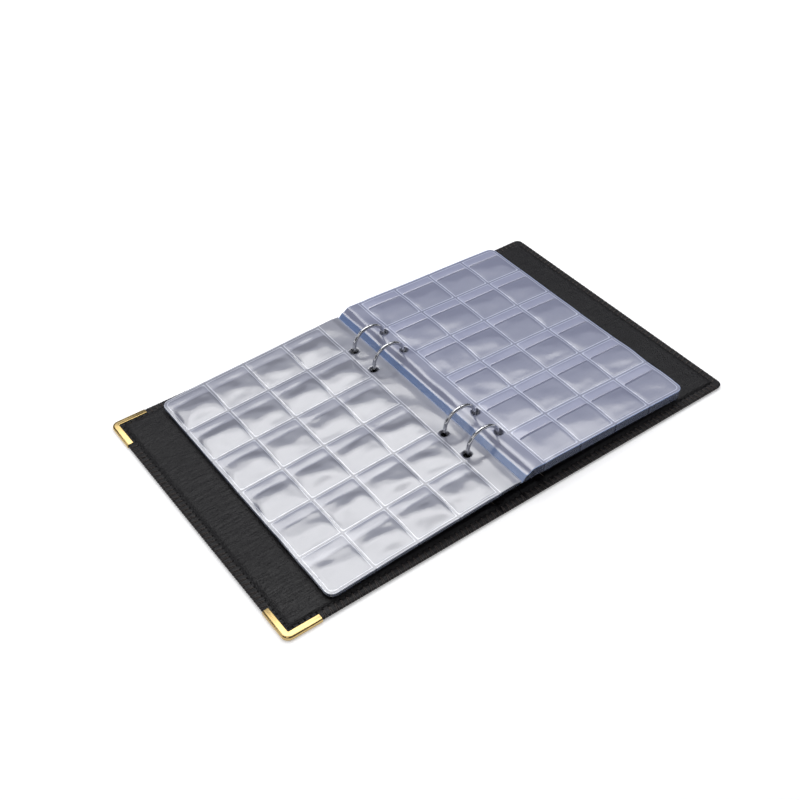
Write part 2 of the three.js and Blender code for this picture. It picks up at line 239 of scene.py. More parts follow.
def vinyl(name, film):
    # calendered clear vinyl: glossy and faintly milky, with thin pale weld lines that are partly the weld's
    # own whitening and partly a painted highlight along the weld's edges, blue where an edge gathers light,
    # and painted shade darkening the rims of the leaves under the top one
    ripple = {"orangePeel": 6 * mm, "peelDepth": 0.2 * mm, "haze": 11 * mm}
    line = {"offset": 0.9, "inner": 0.1, "outer": 0.36}
    # under is the navy of the painted shade on the rims of the leaves below the top one
    look = {"alpha": 0.78, "lineAlpha": 0.15, "flapAlpha": 0.04, "edgeAlpha": 0.2, "under": "#2c3a58"}
    material, tree, shader = newMaterial(name, {"IOR": film["ior"], "Specular IOR Level": 0.95})
    place = addNode(tree, "ShaderNodeTexCoord").outputs["Object"]
    weld = addNode(tree, "ShaderNodeAttribute", {"attribute_name": "weld"}).outputs["Fac"]
    edge = addNode(tree, "ShaderNodeAttribute", {"attribute_name": "edge"}).outputs["Fac"]
    flap = addNode(tree, "ShaderNodeAttribute", {"attribute_name": "flap"}).outputs["Fac"]
    under = addNode(tree, "ShaderNodeAttribute", {"attribute_name": "under"}).outputs["Fac"]
    haze = addNode(tree, "ShaderNodeTexNoise", {"Scale": 1 / ripple["haze"], "Detail": 3.0},
                   {"Vector": place})
    peel = addNode(tree, "ShaderNodeTexNoise", {"Scale": 1 / ripple["orangePeel"], "Detail": 1.0},
                   {"Vector": place})
    # two thin pale lines beside each weld: partly vinyl whitened by the weld, partly a painted highlight on
    # the weld's edges
    beside = addNode(tree, "ShaderNodeMath", {"operation": "SUBTRACT", 1: line["offset"]}, {0: weld})
    apart = addNode(tree, "ShaderNodeMath", {"operation": "ABSOLUTE"}, {0: beside.outputs[0]})
    seam = addNode(tree, "ShaderNodeMapRange", {
        "From Min": line["inner"], "From Max": line["outer"], "To Min": 1.0, "To Max": 0.0,
    }, {"Value": apart.outputs[0]})
    body = addNode(tree, "ShaderNodeMix", {
        "data_type": "RGBA", 6: linear(film["body"]), 7: linear(film["flap"]),
    }, {0: flap})
    seamed = addNode(tree, "ShaderNodeMix", {"data_type": "RGBA", 7: linear(film["seam"])},
                     {0: seam.outputs[0], 6: body.outputs[2]})
    edged = addNode(tree, "ShaderNodeMix", {"data_type": "RGBA", 7: linear(film["edge"])},
                    {0: edge, 6: seamed.outputs[2]})
    # painted shade: the rims of the leaves under the top one are darkened to navy, where the side of the
    # stack falls into shadow
    colour = addNode(tree, "ShaderNodeMix", {"data_type": "RGBA", 7: linear(look["under"])},
                     {0: under, 6: edged.outputs[2]})
    lined = addNode(tree, "ShaderNodeMath", {
        "operation": "MULTIPLY_ADD", 1: look["lineAlpha"], 2: look["alpha"],
    }, {0: seam.outputs[0]})
    flapped = addNode(tree, "ShaderNodeMath", {"operation": "MULTIPLY_ADD", 1: look["flapAlpha"]},
                      {0: flap, 2: lined.outputs[0]})
    alpha = addNode(tree, "ShaderNodeMath", {
        "operation": "MULTIPLY_ADD", 1: look["edgeAlpha"], "use_clamp": True,
    }, {0: edge, 2: flapped.outputs[0]})
    rough = addNode(tree, "ShaderNodeMapRange", {
        "From Min": 0.3, "From Max": 0.7, "To Min": film["sheen"][0], "To Max": film["sheen"][1],
    }, {"Value": haze.outputs[0]})
    relief = addNode(tree, "ShaderNodeBump", {"Strength": 0.25, "Distance": ripple["peelDepth"]},
                     {"Height": peel.outputs[0]})
    tree.links.new(colour.outputs[2], shader.inputs["Base Color"])
    tree.links.new(alpha.outputs[0], shader.inputs["Alpha"])
    tree.links.new(rough.outputs[0], shader.inputs["Roughness"])
    tree.links.new(relief.outputs[0], shader.inputs["Normal"])
    return material


def plated(name, tint, smear, wear):
    # electroplated metal: bright, with soft handling marks
    material, tree, shader = newMaterial(name, {"Metallic": 1.0, "Base Color": linear(tint)})
    place = addNode(tree, "ShaderNodeTexCoord").outputs["Object"]
    marks = addNode(tree, "ShaderNodeTexNoise", {"Scale": 1 / smear, "Detail": 4.0}, {"Vector": place})
    rough = addNode(tree, "ShaderNodeMapRange", {
        "From Min": 0.3, "From Max": 0.7, "To Min": wear[0], "To Max": wear[1],
    }, {"Value": marks.outputs[0]})
    relief = addNode(tree, "ShaderNodeBump", {"Strength": 0.05, "Distance": 0.03 * mm},
                     {"Height": marks.outputs[0]})
    tree.links.new(rough.outputs[0], shader.inputs["Roughness"])
    tree.links.new(relief.outputs[0], shader.inputs["Normal"])
    return material


def stitchThread():
    # bonded polyester thread: dull brown black, with a fleck of lighter ply every half millimetre
    material, tree, shader = newMaterial("plied_polyester_thread", {"Roughness": 0.62, "Sheen Weight": 0.3})
    place = addNode(tree, "ShaderNodeTexCoord").outputs["Object"]
    plyLength = 0.5 * mm
    ply = addNode(tree, "ShaderNodeTexNoise", {"Scale": 1 / plyLength, "Detail": 2.0}, {"Vector": place})
    tone = addNode(tree, "ShaderNodeMix", {"data_type": "RGBA", 6: linear("#2b2423"), 7: linear("#5c504b")},
                   {0: ply.outputs[0]})
    relief = addNode(tree, "ShaderNodeBump", {"Strength": 0.5, "Distance": 0.1 * mm},
                     {"Height": ply.outputs[0]})
    tree.links.new(tone.outputs[2], shader.inputs["Base Color"])
    tree.links.new(relief.outputs[0], shader.inputs["Normal"])
    return material


def greyboard():
    # pressed recycled board: matt warm grey, flecked with fibre
    material, tree, shader = newMaterial("pressed_greyboard", {"Roughness": 0.9})
    place = addNode(tree, "ShaderNodeTexCoord").outputs["Object"]
    fibreLength = 1.4 * mm
    fibre = addNode(tree, "ShaderNodeTexNoise", {"Scale": 1 / fibreLength, "Detail": 5.0}, {"Vector": place})
    tone = addNode(tree, "ShaderNodeMix", {"data_type": "RGBA", 6: linear("#7d766a"), 7: linear("#9a9286")},
                   {0: fibre.outputs[0]})
    tree.links.new(tone.outputs[2], shader.inputs["Base Color"])
    return material


leatherSkin = leatherette()
frontVinyl = vinyl("calendered_clear_vinyl_front_leaves", {
    "body": "#9a9ca9", "seam": "#d3d7e4", "flap": "#aaacbc", "edge": "#c9d1e4",
    "sheen": (0.13, 0.2), "ior": 1.95,
})
backVinyl = vinyl("calendered_clear_vinyl_back_leaves", {
    "body": "#9b9fb8", "seam": "#d0d7ee", "flap": "#b2b6d2", "edge": "#88a6dc",
    "sheen": (0.13, 0.22), "ior": 1.8,
})
giltBrass = plated("gilt_stamped_brass", "#cbb078", 6 * mm, (0.2, 0.32))
nickelPlate = plated("bright_nickel_plate", "#cfd0d4", 5 * mm, (0.15, 0.22))
zincSteel = plated("zinc_plated_steel", "#a7a9ad", 4 * mm, (0.25, 0.4))
sewingThread = stitchThread()
boardStock = greyboard()
print("materials ready")


def noiseAt(u, v, size, layer):
    # smooth noise either side of 0; size is its length in mm both ways, layer picks another pattern
    return noise.noise(Vector((u / size[0], v / size[1], layer)))


def vertsOf(geometry):
    return [part for part in geometry if isinstance(part, bmesh.types.BMVert)]


def edgesOf(geometry):
    return [part for part in geometry if isinstance(part, bmesh.types.BMEdge)]


def toMetres(shape, side=1, end=1):
    bmesh.ops.scale(shape, vec=(side * mm, end * mm, mm), verts=shape.verts)


def finishPiece(name, shape, material, body=None, replaces=()):
    mesh = bpy.data.meshes.new(name)
    shape.to_mesh(mesh)
    shape.free()
    mesh.materials.append(material)
    mesh.shade_smooth()
    made = bpy.data.objects.new(name, mesh)
    scene.collection.objects.link(made)
    if body:
        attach(made, body)
    if replaces:
        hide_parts(*replaces)
    return made


def thicken(made, thickness, offset):
    wall = made.modifiers.new("wall", "SOLIDIFY")
    wall.thickness = thickness
    wall.offset = offset
    wall.use_even_offset = False
    return made


def softEdges(made, width, angle):
    rounding = made.modifiers.new("soft_edges", "BEVEL")
    rounding.width = width * mm
    rounding.segments = 2
    rounding.limit_method = "ANGLE"
    rounding.angle_limit = math.radians(angle)


def gridLines(marks, step):
    # grid lines through every mark, about a step apart in between
    marks = sorted(marks)
    lines = []
    for low, high in zip(marks, marks[1:]):
        count = max(1, round((high - low) / step))
        lines += [low + (high - low) * i / count for i in range(count)]
    return lines + [marks[-1]]


def gridShape(alongX, alongY):
    shape = bmesh.new()
    bmesh.ops.create_grid(shape, x_segments=len(alongX) - 1, y_segments=len(alongY) - 1, size=0.5)
    for vert in shape.verts:
        column = round((vert.co.x + 0.5) * (len(alongX) - 1))
        row = round((vert.co.y + 0.5) * (len(alongY) - 1))
        vert.co = (alongX[column], alongY[row], 0.0)
    return shape


def roundCorner(shape, centre, out, radius):
    # pulls the square corner of a grid on to an arc about centre; out points to the corner
    for vert in shape.verts:
        du = (vert.co.x - centre[0]) * out[0]
        dv = (vert.co.y - centre[1]) * out[1]
        if du > 1e-9 and dv > 1e-9:
            reach = max(du, dv)
            pull = reach / math.hypot(du, dv) if reach <= radius + 1e-9 else 1.0
            vert.co.x = centre[0] + out[0] * du * pull
            vert.co.y = centre[1] + out[1] * dv * pull


# covers: outer skin and lining, each in two halves that meet on the spine's centre line
cover = {
    "halfWidth": 160.0, "halfHeight": 96.5, "corner": 4.0, "hinge": 15.5, "lining": 0.6, "wrap": 0.7,
    "wrapRoll": 1.45, "rimTop": 2.2, "rimRound": 0.7, "rimDrop": 0.62,
    "panelTop": 3.2, "panelRise": (4.7, 7.0),
    "seamInset": 4.3, "grooveDepth": 0.3, "grooveHalf": 0.45, "swell": 0.25, "swellRise": (6, 20),
    "swellClear": (19.5, 30), "jointFloor": 1.35, "jointSlope": (0.8, 3.8), "hingeLines": 1.9,
    "insets": [0, 0.25, 0.7, 1.5, 3.4, 4.2, 5.4, 6.4, 8.2], "liningGrid": (1.4, 0.8), "wrapGrid": (4.0, 4.0),
}
bend = {"start": cover["hinge"] - 2.9, "end": cover["hinge"] + 3.1}  # where a skin turns from spine to cover


def edgeDistance(u, v):
    # distance in from the fore, head and tail edges, following the rounded corner
    toFore = cover["halfWidth"] - u
    toEnd = cover["halfHeight"] - abs(v)
    r = cover["corner"]
    if toFore < r and toEnd < r:
        return r - math.hypot(r - toFore, r - toEnd)
    return min(toFore, toEnd)


def liningHeight(u, v):
    # a rolled rim, a step up inside the seam, a swollen panel and a dip along the hinge line
    c = cover
    d = edgeDistance(u, v)
    rolled = 1 - min(d / c["rimRound"], 1.0)
    rim = c["rimTop"] - c["rimDrop"] * (1 - math.sqrt(max(0.0, 1 - rolled ** 2)))
    height = mix(rim, c["panelTop"], smoothStep(*c["panelRise"], d))
    height -= c["grooveDepth"] * math.exp(-((d - c["seamInset"] - c["grooveHalf"]) / c["grooveHalf"]) ** 2)
    height += c["swell"] * smoothStep(*c["swellRise"], d) * smoothStep(*c["swellClear"], u)
    dip = 1 - smoothStep(*c["jointSlope"], abs(u - c["hinge"]))
    return mix(height, min(height, c["jointFloor"]), dip)


crease = {
    "depth": {-1: 0.3, 1: 0.08}, "middle": -4, "reach": 46, "backShare": 0.6, "start": (6.5, 12),
    "fade": (40, 70), "faded": 0.7, "wander": 3.5, "wanderSize": (17, 30), "ridgeSize": (22, 2.1),
    "sharpness": 3, "level": 0.55, "swell": 0.14, "swellSize": (34, 16),
}


def creaseHeight(u, v, side):
    # handling creases run in from the fore edge, deepest near the middle of the front cover
    k = crease
    d = edgeDistance(u, v)
    middle = math.exp(-((v - k["middle"]) / k["reach"]) ** 2) if side < 0 else k["backShare"]
    band = smoothStep(*k["start"], d) * (1 - k["faded"] * smoothStep(*k["fade"], d))
    wander = k["wander"] * noiseAt(u, v, k["wanderSize"], 3.1)
    ridge = 1 - abs(noiseAt(u, v + wander, k["ridgeSize"], 7.7 + side))
    swell = noiseAt(u, v, k["swellSize"], 1.9 + side)
    creased = k["depth"][side] * middle * band * (ridge ** k["sharpness"] - k["level"])
    return creased + k["swell"] * band * swell


def coverGrid(stepX, stepY):
    # half the open case, with lines close together along its edges and its hinge
    c = cover
    nearHinge = [c["hinge"] + k * c["hingeLines"] for k in (-2, -1, 0, 1, 2)]
    alongX = gridLines([0] + nearHinge + [c["halfWidth"] - d for d in c["insets"]], stepX)
    ends = [c["halfHeight"] - d for d in c["insets"]]
    alongY = gridLines([-e for e in ends] + ends, stepY)
    shape = gridShape(alongX, alongY)
    for end in (-1, 1):
        centre = (c["halfWidth"] - c["corner"], end * (c["halfHeight"] - c["corner"]))
        roundCorner(shape, centre, (1, end), c["corner"])
    return shape


seamStarts = {"end": 1.5, "fore": cover["halfHeight"] - cover["corner"] - 1.5}


def liningSkin(prefix, side):
    shape = coverGrid(*cover["liningGrid"])
    insetLayer = shape.verts.layers.float.new("inset")
    runLayer = shape.verts.layers.float.new("run")
    for vert in shape.verts:
        u, v, _ = vert.co
        vert[insetLayer] = edgeDistance(u, v)
        alongFore = cover["halfWidth"] - u < cover["halfHeight"] - abs(v)
        vert[runLayer] = v + seamStarts["fore"] if alongFore else u - seamStarts["end"]
        lift = liningHeight(u, v) + creaseHeight(u, v, side)
        vert.co = Vector((side * u, v, lift)) * mm
    if side < 0:
        bmesh.ops.reverse_faces(shape, faces=shape.faces)
    made = finishPiece(f"{prefix}_lining_skin", shape, leatherSkin,
                       replaces=[f"{prefix}_lining", "spine_lining"])
    thicken(made, cover["lining"] * mm, -1.0)
    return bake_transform(made, "spine", prefix, start=(side * bend["start"] * mm, 0, 0),
                    end=(side * bend["end"] * mm, 0, 0))


def outerSkin(prefix, side):
    shape = coverGrid(*cover["wrapGrid"])
    roll = cover["wrapRoll"]
    for vert in shape.verts:
        u, v, _ = vert.co
        d = min(edgeDistance(u, v), roll)
        lift = roll - math.sqrt(max(0.0, roll ** 2 - (roll - d) ** 2))
        vert.co = Vector((side * u, v, lift)) * mm
    if side > 0:
        bmesh.ops.reverse_faces(shape, faces=shape.faces)
    made = finishPiece(f"{prefix}_outer_skin", shape, leatherSkin,
                       replaces=[f"{prefix}_outer_wrap", "spine_outer_wrap"])
    thicken(made, cover["wrap"] * mm, -1.0)
    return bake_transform(made, "spine", prefix, start=(side * bend["start"] * mm, 0, 0),
                    end=(side * bend["end"] * mm, 0, 0))


for prefix, side in (("front_cover", -1), ("back_cover", 1)):
    liningSkin(prefix, side)
    outerSkin(prefix, side)
print("cover skins ready")

# seam: overcast stitches from the needle holes to the cover's edge and round it
stitch = {
    "pitch": 3.6, "radius": 0.14, "slant": 1.8, "jitter": 0.12, "lean": 1.15,
    "cornerClear": 23.0, "endClear": 1,
    "route": [(4.65, 1.72), (3.8, 2.38), (2.0, 2.46), (0.35, 2.3), (-0.16, 1.5), (0.35, 0.45)],
}


def seamPath():
    # positions and inward directions of the needle holes round one half of the case
    c = cover
    path = []
    endCount = round((c["halfWidth"] - c["corner"] - stitch["endClear"]) / stitch["pitch"])
    for end in (-1, 1):
        for i in range(endCount):
            hole = Vector((seamStarts["end"] + i * stitch["pitch"], end * (c["halfHeight"] - c["seamInset"])))
            path.append((hole, Vector((0, -end)), Vector((1, 0))))
    foreCount = round(2 * (c["halfHeight"] - c["corner"] - stitch["endClear"]) / stitch["pitch"])
    for i in range(foreCount):
        hole = Vector((c["halfWidth"] - c["seamInset"], -seamStarts["fore"] + i * stitch["pitch"]))
        path.append((hole, Vector((-1, 0)), Vector((0, 1))))
    return path


def seamStitches(prefix, side):
    c = cover
    curve = bpy.data.curves.new(f"{prefix}_stitches", "CURVE")
    curve.dimensions = "3D"
    curve.bevel_depth = stitch["radius"] * mm
    curve.bevel_resolution = 1
    curve.use_fill_caps = True
    dice = random.Random(5 + side)
    last = len(stitch["route"]) - 1
    for hole, inward, along in seamPath():
        toFore = c["halfWidth"] - hole.x
        toEnd = c["halfHeight"] - abs(hole.y)
        if side < 0 and toFore < stitch["cornerClear"] and toEnd < stitch["cornerClear"]:
            continue
        for slant in (0.0, stitch["slant"]):
            jitter = dice.uniform(-stitch["jitter"], stitch["jitter"])
            spline = curve.splines.new("POLY")
            spline.points.add(last)
            for i, (inset, height) in enumerate(stitch["route"]):
                sweep = (slant + jitter) * i / last * stitch["lean"]
                spot = hole + inward * (inset - c["seamInset"]) + along * sweep
                spline.points[i].co = (side * spot.x * mm, spot.y * mm, height * mm, 1)
    holder = bpy.data.objects.new(f"{prefix}_stitches_curve", curve)
    scene.collection.objects.link(holder)
    bpy.context.view_layer.update()
    mesh = bpy.data.meshes.new_from_object(holder.evaluated_get(bpy.context.evaluated_depsgraph_get()))
    bpy.data.objects.remove(holder)
    shape = bmesh.new()
    shape.from_mesh(mesh)
    if side < 0:
        bmesh.ops.recalc_face_normals(shape, faces=shape.faces)
    made = finishPiece(f"{prefix}_seam_stitches", shape, sewingThread,
                       replaces=[f"{prefix}_seam_thread", "spine_tail_seam_thread", "spine_head_seam_thread"])
    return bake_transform(made, "spine", prefix, start=(side * bend["start"] * mm, 0, 0),
                    end=(side * bend["end"] * mm, 0, 0))


for prefix, side in (("front_cover", -1), ("back_cover", 1)):
    seamStitches(prefix, side)
print("seams ready")

# gilt corners: a strip folded over the cover's edge, swept round the corner, on a three-cornered plate
giltCorner = {
    "leg": 22.0, "sheet": 0.42, "radius": 4.0, "turnSteps": 10, "soft": 0.09,
    "plate": 0.4, "plateFloor": 0.02, "plateSteps": 6, "plateOver": 0.3,
    "section": [
        (3.6, 2.52), (3.45, 2.72), (3.15, 2.8), (2.85, 2.7), (2.6, 2.66), (1.6, 2.66), (0.7, 2.62),
        (0.05, 2.45), (-0.35, 2.1), (-0.52, 1.6), (-0.55, 0.7), (-0.42, 0.2), (-0.1, 0.03), (0.8, 0.03),
    ],
}


def cornerStrip(shape):
    # the section drawn up one leg, swung round the corner and drawn along the other
    c = cover
    g = giltCorner
    straight = g["leg"] - g["radius"]
    start = c["halfHeight"] - g["leg"]
    verts = [shape.verts.new((c["halfWidth"] - inset, start, height)) for inset, height in g["section"]]
    section = [shape.edges.new(pair) for pair in zip(verts, verts[1:])]
    grown = bmesh.ops.extrude_edge_only(shape, edges=section)["geom"]
    bmesh.ops.translate(shape, vec=(0, straight, 0), verts=vertsOf(grown))
    front = [e for e in edgesOf(grown) if abs(e.verts[0].co.y - e.verts[1].co.y) < 1e-6]
    centre = (c["halfWidth"] - g["radius"], c["halfHeight"] - g["radius"], 0)
    turned = bmesh.ops.spin(shape, geom=front, cent=centre, axis=(0, 0, 1), angle=math.pi / 2,
                            steps=g["turnSteps"])["geom_last"]
    grown = bmesh.ops.extrude_edge_only(shape, edges=edgesOf(turned))["geom"]
    bmesh.ops.translate(shape, vec=(-straight, 0, 0), verts=vertsOf(grown))
    bmesh.ops.remove_doubles(shape, verts=shape.verts, dist=1e-4)
    bmesh.ops.recalc_face_normals(shape, faces=shape.faces)
    bmesh.ops.solidify(shape, geom=list(shape.faces), thickness=g["sheet"])


def cornerPlate(shape):
    # the three-cornered plate on the outer face, round where the cover is
    c = cover
    g = giltCorner
    outline = [(c["halfWidth"], c["halfHeight"] - g["leg"]), (c["halfWidth"] - g["leg"], c["halfHeight"])]
    bow = g["radius"] + g["plateOver"]
    for i in range(g["plateSteps"] + 1):
        turn = math.pi / 2 * (1 - i / g["plateSteps"])
        outline.append((c["halfWidth"] - g["radius"] + bow * math.cos(turn),
                        c["halfHeight"] - g["radius"] + bow * math.sin(turn)))
    face = shape.faces.new([shape.verts.new((x, y, g["plateFloor"])) for x, y in outline])
    grown = bmesh.ops.extrude_face_region(shape, geom=[face])["geom"]
    bmesh.ops.translate(shape, vec=(0, 0, g["plate"]), verts=vertsOf(grown))


def metalCorner(name, end, node):
    shape = bmesh.new()
    cornerStrip(shape)
    cornerPlate(shape)
    toMetres(shape, -1, end)
    bmesh.ops.recalc_face_normals(shape, faces=shape.faces)
    made = finishPiece(name, shape, giltBrass, "front_cover", [node])
    softEdges(made, giltCorner["soft"], 50)
    return made


metalCorner("gilt_corner_tail", -1, "front_cover_tail_corner")
metalCorner("gilt_corner_head", 1, "front_cover_head_corner")
print("corners ready")

# ring mechanism
rings = {
    "radius": 11.0, "wire": 1.15, "centreZ": 14.6, "foot": -67, "tipGap": 0.12,
    "places": [-56, -35, 35, 56], "sides": 20, "steps": 44, "rim": 0.22,
}


def halfRing(side, number, y):
    r = rings
    shape = bmesh.new()
    first = math.radians(r["foot"])
    last = math.acos(r["tipGap"] / r["radius"])
    made = bmesh.ops.create_circle(shape, segments=r["sides"], radius=r["wire"], cap_ends=True)
    bmesh.ops.translate(shape, verts=made["verts"], vec=(r["radius"], 0, 0))
    bmesh.ops.rotate(shape, verts=made["verts"], cent=(0, 0, 0), matrix=Matrix.Rotation(-first, 3, "Y"))
    bmesh.ops.spin(shape, geom=list(shape.faces), cent=(0, 0, 0), axis=(0, -1, 0), angle=last - first,
                   steps=r["steps"])
    bmesh.ops.recalc_face_normals(shape, faces=shape.faces)
    rim = [e for e in shape.edges if len(e.link_faces) == 2 and e.calc_face_angle(0) > math.radians(60)]
    bmesh.ops.bevel(shape, geom=rim, offset=r["rim"], segments=2, profile=0.5, affect="EDGES", material=-1)
    bmesh.ops.translate(shape, verts=shape.verts, vec=(0, y, r["centreZ"]))
    toMetres(shape, side)
    if side < 0:
        bmesh.ops.reverse_faces(shape, faces=shape.faces)
    word = "front" if side < 0 else "back"
    return finishPiece(f"{word}_ring_wire_{number}", shape, nickelPlate, f"{word}_ring_side",
                       [f"{word}_half_ring_{number}"])


for side in (-1, 1):
    for number, y in enumerate(rings["places"], 1):
        halfRing(side, number, y)

# the housing's half width and half length, and the slots that let the half rings out
housing = {
    "half": 9.0, "length": 76.0, "base": 3.3, "rise": 4.7, "sheet": 0.8, "steps": 24, "soft": 0.18,
    "slotInner": 4.4, "slotHalf": 1.7, "slotOver": 1, "slotHeight": 12, "slotMiddle": 3,
}
rivetShape = {
    "floor": 8.05, "places": {"tail": -68, "head": 68},
    "profile": [
        (0.0, 0.85), (1.2, 0.8), (2.3, 0.6), (3.0, 0.32), (3.3, 0.0), (1.5, 0.0), (1.5, -6.9), (0.0, -6.9),
    ],
}


def archedSheet(shape):
    h = housing
    verts = []
    for i in range(h["steps"] + 1):
        turn = math.pi * i / h["steps"]
        place = (h["half"] * math.cos(turn), -h["length"], h["base"] + h["rise"] * math.sin(turn))
        verts.append(shape.verts.new(place))
    edges = [shape.edges.new(pair) for pair in zip(verts, verts[1:])]
    grown = bmesh.ops.extrude_edge_only(shape, edges=edges)["geom"]
    bmesh.ops.translate(shape, vec=(0, 2 * h["length"], 0), verts=vertsOf(grown))
    bmesh.ops.recalc_face_normals(shape, faces=shape.faces)
    if shape.faces[:][h["steps"] // 2].normal.z < 0:
        bmesh.ops.reverse_faces(shape, faces=shape.faces)
    toMetres(shape)


def slotCutter():
    h = housing
    shape = bmesh.new()
    reach = h["half"] + h["slotOver"] - h["slotInner"]
    for y in rings["places"]:
        for side in (-1, 1):
            block = bmesh.ops.create_cube(shape, size=1.0)["verts"]
            bmesh.ops.scale(shape, vec=(reach, 2 * h["slotHalf"], h["slotHeight"]), verts=block)
            middle = (side * (h["slotInner"] + reach / 2), y, h["base"] + h["slotMiddle"])
            bmesh.ops.translate(shape, vec=middle, verts=block)
    toMetres(shape)
    mesh = bpy.data.meshes.new("slot_cutter")
    shape.to_mesh(mesh)
    shape.free()
    made = bpy.data.objects.new("slot_cutter", mesh)
    scene.collection.objects.link(made)
    return made


def ringHousing():
    shape = bmesh.new()
    archedSheet(shape)
    made = finishPiece("ring_housing_shell", shape, nickelPlate, "spine", ["ring_housing"])
    thicken(made, housing["sheet"] * mm, -1.0)
    cutter = slotCutter()
    cut = made.modifiers.new("slots", "BOOLEAN")
    cut.object = cutter
    cut.operation = "DIFFERENCE"
    cut.solver = "EXACT"
    softEdges(made, housing["soft"], 45)
    bpy.context.view_layer.update()
    final = bpy.data.meshes.new_from_object(made.evaluated_get(bpy.context.evaluated_depsgraph_get()))
    made.modifiers.clear()
    made.data = final
    bpy.data.objects.remove(cutter)
    return made


def rivet(word):
    shape = bmesh.new()
    floorZ = rivetShape["floor"]
    verts = [shape.verts.new((radius, 0, floorZ + height)) for radius, height in rivetShape["profile"]]
    edges = [shape.edges.new(pair) for pair in zip(verts, verts[1:])]
    bmesh.ops.spin(shape, geom=edges, cent=(0, 0, 0), axis=(0, 0, 1), angle=2 * math.pi, steps=28,
                   use_merge=True)
    bmesh.ops.remove_doubles(shape, verts=shape.verts, dist=1e-4)
    bmesh.ops.recalc_face_normals(shape, faces=shape.faces)
    bmesh.ops.translate(shape, verts=shape.verts, vec=(0, rivetShape["places"][word], 0))
    toMetres(shape)
    return finishPiece(f"housing_rivet_{word}", shape, nickelPlate, "spine",
                       [f"ring_housing_{word}_rivet"])


ringHousing()
rivet("tail")
rivet("head")
keptNodes = {
    "front_ring_carrier": zincSteel, "back_ring_carrier": zincSteel,
    "front_cover_board": boardStock, "back_cover_board": boardStock, "spine_board": boardStock,
}
for node, material in keptNodes.items():
    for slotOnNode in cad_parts[node].material_slots:
        slotOnNode.material = material
print("ring mechanism ready")

# leaves: two vinyl films welded into 24 pockets, each pocket slit across near its top
leaf = {
    "inner": 1.3, "outer": 129.5, "half": 90.5, "corner": 5.0, "droop": math.radians(2.5), "pitch": 1.0,
    "edge": 1.2, "columnPitch": 28.0, "mouthDrop": 8.0, "weldHalf": 1.05, "columns": 4, "rows": 6,
    "film": 0.18, "spread": 0.15, "pressed": 0.11, "margin": 15.0, "marginRise": 1.2, "rim": 0.4,
    "count": 10, "level": 5.5, "weldReach": 3.0, "lowerFull": 0.7, "uneven": 0.25, "unevenLength": 28,
    "punch": 2.9, "punchOffset": 0.9, "punchCell": 2.0, "punchReach": 2.1,
}
# what every leaf of a stack shares: swells, columns that bow between row welds, a rippled free edge and a
# punched margin that only sags, so that a leaf turned over does not cut into the one it lands on
wave = {
    "swell": 0.6, "swellSize": (52, 44), "swellFrom": (18, 60),
    "arch": 0.5, "archBase": 0.6, "archSize": (30, 60), "archFrom": (18, 44),
    "ripple": 0.3, "rippleSize": (40, 13), "rippleIn": (8, 1),
    "sag": 0.8, "sagBase": 0.35, "sagSize": (14, 17), "sagFrom": (0, 9), "sagTo": (15, 26),
}
# how a pocket's film is blown off its leaf
belly = {
    "crumple": 0.35, "crumpleSize": (11, 7), "crumpleFrom": (0.8, 6), "flapCrumple": 0.4, "flapFull": 0.3,
    "flapSpan": 0.8, "atMouth": 0.3, "lean": 0.5, "blunt": 0.7, "fall": 1.1,
}
# how each stack's inner margin sinks between the rings and shifts outwards, from its lowest leaf to its top
# one; steps is how many leaves that is, rim how blue the top leaf's cut edge shows
stacks = {
    -1: {"sink": (0.2, 0.8), "shift": (-0.9, -0.9), "bendEnd": 6.5, "lowest": 1, "steps": 2, "rim": 0.4},
    1: {"sink": (0.3, 3.0), "shift": (-1.2, 1.5), "bendEnd": 9.0, "lowest": 10, "steps": 6, "rim": 0.9},
}
rowPitch = 2 * (leaf["half"] - leaf["edge"]) / leaf["rows"]
columnLines = [leaf["outer"] - leaf["edge"] - leaf["columnPitch"] * k for k in range(leaf["columns"] + 1)]
rowLines = [leaf["half"] - leaf["edge"] - rowPitch * k for k in range(leaf["rows"] + 1)]
mouthLines = [y - leaf["mouthDrop"] for y in rowLines[:-1]]


def pocketPlace(u, v):
    # which pocket a point is in, how far across it from -1 to 1, and how far below its row line
    column = min(max(int((columnLines[0] - u) / leaf["columnPitch"]), 0), leaf["columns"] - 1)
    row = min(max(int((rowLines[0] - v) / rowPitch), 0), leaf["rows"] - 1)
    middle = columnLines[0] - leaf["columnPitch"] * (column + 0.5)
    across = (u - middle) / (leaf["columnPitch"] / 2)
    return column, row, across, rowLines[row] - v


def weldDistance(u, v):
    toColumn = min(abs(u - line) for line in columnLines)
    toRow = min(abs(v - line) for line in rowLines) if u > columnLines[-1] - leaf["weldHalf"] else 99.0
    return min(toColumn, toRow)


def pageWave(u, v):
    w = wave
    swell = w["swell"] * noiseAt(u, v, w["swellSize"], 3.7) * smoothStep(*w["swellFrom"], u)
    below = (rowLines[0] - v) % rowPitch / rowPitch
    arch = math.sin(math.pi * below) ** 2 * (w["archBase"] + noiseAt(u, v, w["archSize"], 9.1))
    ripple = w["ripple"] * noiseAt(u, v, w["rippleSize"], 5.0) * smoothStep(*w["rippleIn"], leaf["outer"] - u)
    sag = max(0.0, w["sagBase"] + noiseAt(u, v, w["sagSize"], 2.2))
    sag *= smoothStep(*w["sagFrom"], u) * (1 - smoothStep(*w["sagTo"], u))
    return swell + w["arch"] * arch * smoothStep(*w["archFrom"], u) + ripple - w["sag"] * sag


